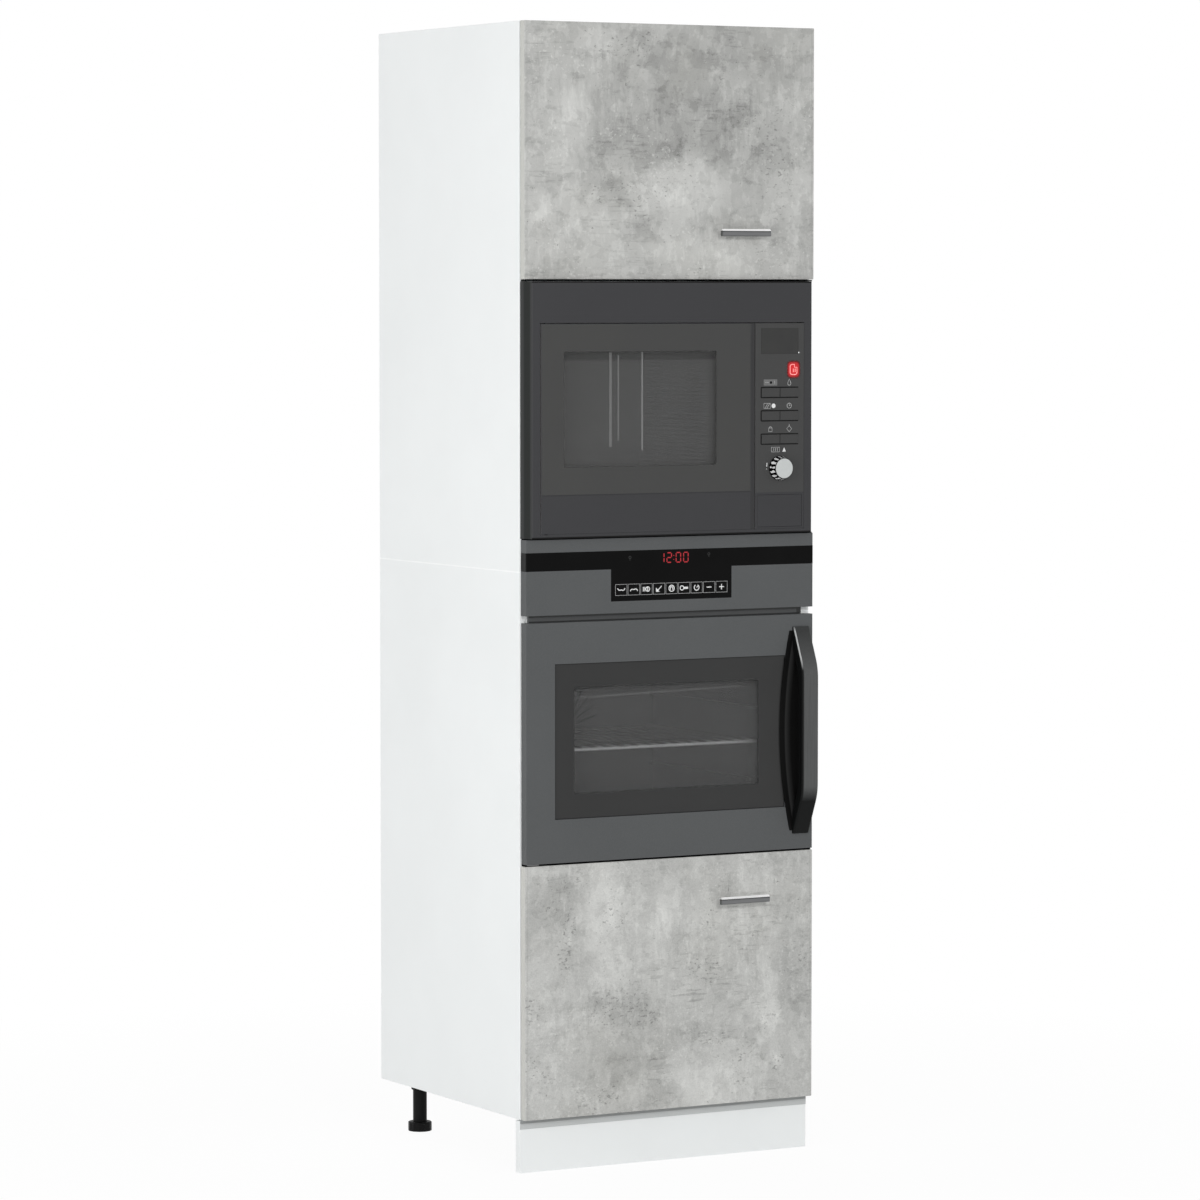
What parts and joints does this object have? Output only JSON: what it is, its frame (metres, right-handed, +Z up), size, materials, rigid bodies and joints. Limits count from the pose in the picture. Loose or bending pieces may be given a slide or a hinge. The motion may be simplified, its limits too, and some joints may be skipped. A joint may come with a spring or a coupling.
{
  "type": "microwave cabinet",
  "caption": "Tall kitchen cabinet with a cupboard at top and bottom, a built-in microwave with side-hung door and a built-in oven below it, on screw feet behind a plinth.",
  "frame": {"origin": "on the floor, below the middle of the whole object's box", "axes": "+Z up, the doors face -Y, +X to the right as seen from the front"},
  "size_m": [0.6, 0.608, 2.05],
  "materials": {
    "white_board": "white melamine facing on chipboard, satin",
    "concrete_board": "concrete-look laminate on chipboard, matt, mottled",
    "back_board": "white lacquered hardboard, satin",
    "beech": "plain beech",
    "zinc": "zinc-plated die casting",
    "hinge_steel": "nickel-plated pressed steel",
    "bar_steel": "brushed stainless steel",
    "black_plastic": "black moulded plastic",
    "graphite_plastic": "graphite moulded plastic, fine grain",
    "button_plastic": "grey moulded plastic",
    "smoked_glass": "smoked glass with printed border",
    "screen_metal": "dark painted perforated sheet",
    "case_sheet": "galvanised sheet steel",
    "light_enamel": "light grey enamel",
    "dark_enamel": "dark grey speckled enamel",
    "oven_paint": "grey metallic paint, satin",
    "black_glass": "black back-painted glass",
    "oven_outer_glass": "dark tinted glass",
    "oven_clear_glass": "clear heat-proof glass with printed border",
    "knob_metal": "bright plated cap",
    "rack_wire": "chrome-plated wire",
    "plate_glass": "clear pressed glass",
    "handle_metal": "dark anodised aluminium"
  },
  "bodies": {
    "cabinet": {"side_left_lower": "white_board", "side_left_upper": "white_board", "side_right_lower": "white_board", "side_right_upper": "white_board", "top_panel": "white_board", "bottom_panel": "white_board", "oven_shelf": "white_board", "microwave_shelf": "white_board", "upper_floor": "white_board", "loose_shelf": "white_board", "back_rails": "white_board", "plinth_board": "white_board", "lower_back_panel": "back_board", "upper_back_panel": "back_board", "cam_fittings": "zinc", "dowels": "beech", "shelf_pins": "zinc", "plinth_clips": "black_plastic", "foot_sockets": "black_plastic", "hinge_arms": "hinge_steel", "microwave_case": "case_sheet", "microwave_cavity": "light_enamel", "microwave_trim": "graphite_plastic", "microwave_control_panel": "graphite_plastic", "oven_case": "case_sheet", "oven_cavity": "dark_enamel", "oven_fascia": "oven_paint", "oven_touch_glass": "black_glass", "oven_rack": "rack_wire"},
    "upper_door": {"upper_door": "concrete_board", "upper_handle": "bar_steel", "upper_handle_screws": "zinc", "upper_hinge_cups": "hinge_steel"},
    "upper_links": {"upper_hinge_links": "hinge_steel"},
    "lower_door": {"lower_door": "concrete_board", "lower_handle": "bar_steel", "lower_handle_screws": "zinc", "lower_hinge_cups": "hinge_steel"},
    "lower_links": {"lower_hinge_links": "hinge_steel"},
    "microwave_door": {"microwave_door": "graphite_plastic", "microwave_door_glass": "smoked_glass", "microwave_door_screen": "screen_metal"},
    "oven_door": {"oven_door": "oven_paint", "oven_door_glass": "oven_outer_glass", "oven_inner_glass": "oven_clear_glass", "oven_handle": "handle_metal"},
    "button_1_left": {"microwave_button_1_left": "button_plastic"},
    "button_1_right": {"microwave_button_1_right": "button_plastic"},
    "button_2_left": {"microwave_button_2_left": "button_plastic"},
    "button_2_right": {"microwave_button_2_right": "button_plastic"},
    "button_3_left": {"microwave_button_3_left": "button_plastic"},
    "button_3_right": {"microwave_button_3_right": "button_plastic"},
    "release": {"microwave_release": "graphite_plastic"},
    "knob": {"microwave_knob": "knob_metal"},
    "turntable": {"turntable": "plate_glass"},
    "roller_ring": {"roller_ring": "black_plastic"},
    "foot_front_left": {"foot_front_left": "black_plastic"},
    "foot_front_right": {"foot_front_right": "black_plastic"},
    "foot_back_left": {"foot_back_left": "black_plastic"},
    "foot_back_right": {"foot_back_right": "black_plastic"}
  },
  "joints": [
    {"name": "upper_door_swing", "type": "hinge", "parent": "cabinet", "child": "upper_door", "pos_m": [-0.294, -0.258, 1.8225], "axis": [0, 0, -1], "range_deg": [0, 95]},
    {"name": "upper_link_turn", "type": "hinge", "parent": "cabinet", "child": "upper_links", "pos_m": [-0.271, -0.2555, 1.8225], "axis": [0, 0, 1], "range_deg": [0, 36.3]},
    {"name": "lower_door_swing", "type": "hinge", "parent": "cabinet", "child": "lower_door", "pos_m": [-0.294, -0.258, 0.3245], "axis": [0, 0, -1], "range_deg": [0, 95]},
    {"name": "lower_link_turn", "type": "hinge", "parent": "cabinet", "child": "lower_links", "pos_m": [-0.271, -0.2555, 0.3245], "axis": [0, 0, 1], "range_deg": [0, 36.3]},
    {"name": "microwave_door_swing", "type": "hinge", "parent": "cabinet", "child": "microwave_door", "pos_m": [-0.2605, -0.269, 1.33], "axis": [0, 0, -1], "range_deg": [0, 95]},
    {"name": "oven_door_swing", "type": "hinge", "parent": "cabinet", "child": "oven_door", "pos_m": [-0.291, -0.263, 0.7705], "axis": [0, 0, -1], "range_deg": [0, 95]},
    {"name": "button_1_left_press", "type": "slide", "parent": "cabinet", "child": "button_1_left", "axis": [0, 1, 0], "range_m": [0, 0.0015], "stiffness_N_per_m": 400},
    {"name": "button_1_right_press", "type": "slide", "parent": "cabinet", "child": "button_1_right", "axis": [0, 1, 0], "range_m": [0, 0.0015], "stiffness_N_per_m": 400},
    {"name": "button_2_left_press", "type": "slide", "parent": "cabinet", "child": "button_2_left", "axis": [0, 1, 0], "range_m": [0, 0.0015], "stiffness_N_per_m": 400},
    {"name": "button_2_right_press", "type": "slide", "parent": "cabinet", "child": "button_2_right", "axis": [0, 1, 0], "range_m": [0, 0.0015], "stiffness_N_per_m": 400},
    {"name": "button_3_left_press", "type": "slide", "parent": "cabinet", "child": "button_3_left", "axis": [0, 1, 0], "range_m": [0, 0.0015], "stiffness_N_per_m": 400},
    {"name": "button_3_right_press", "type": "slide", "parent": "cabinet", "child": "button_3_right", "axis": [0, 1, 0], "range_m": [0, 0.0015], "stiffness_N_per_m": 400},
    {"name": "release_press", "type": "slide", "parent": "cabinet", "child": "release", "axis": [0, 1, 0], "range_m": [0, 0.004], "stiffness_N_per_m": 500},
    {"name": "knob_turn", "type": "hinge", "parent": "cabinet", "child": "knob", "pos_m": [0.22175, -0.275, 1.25301], "axis": [0, 1, 0], "continuous": true},
    {"name": "turntable_turn", "type": "hinge", "parent": "cabinet", "child": "turntable", "pos_m": [-0.055, -0.069, 1.195], "axis": [0, 0, 1], "continuous": true},
    {"name": "roller_ring_turn", "type": "hinge", "parent": "cabinet", "child": "roller_ring", "pos_m": [-0.055, -0.069, 1.1863], "axis": [0, 0, 1], "continuous": true},
    {"name": "foot_front_left_turn", "type": "hinge", "parent": "cabinet", "child": "foot_front_left", "pos_m": [-0.24, -0.179, 0.05], "axis": [0, 0, 1], "continuous": true},
    {"name": "foot_front_right_turn", "type": "hinge", "parent": "cabinet", "child": "foot_front_right", "pos_m": [0.24, -0.179, 0.05], "axis": [0, 0, 1], "continuous": true},
    {"name": "foot_back_left_turn", "type": "hinge", "parent": "cabinet", "child": "foot_back_left", "pos_m": [-0.24, 0.262, 0.05], "axis": [0, 0, 1], "continuous": true},
    {"name": "foot_back_right_turn", "type": "hinge", "parent": "cabinet", "child": "foot_back_right", "pos_m": [0.24, 0.262, 0.05], "axis": [0, 0, 1], "continuous": true}
  ],
  "couplings": [
    {"joint": "upper_link_turn", "follows": "upper_door_swing", "ratio": 0.382},
    {"joint": "lower_link_turn", "follows": "lower_door_swing", "ratio": 0.382},
    {"joint": "roller_ring_turn", "follows": "turntable_turn", "ratio": 0.5}
  ]
}
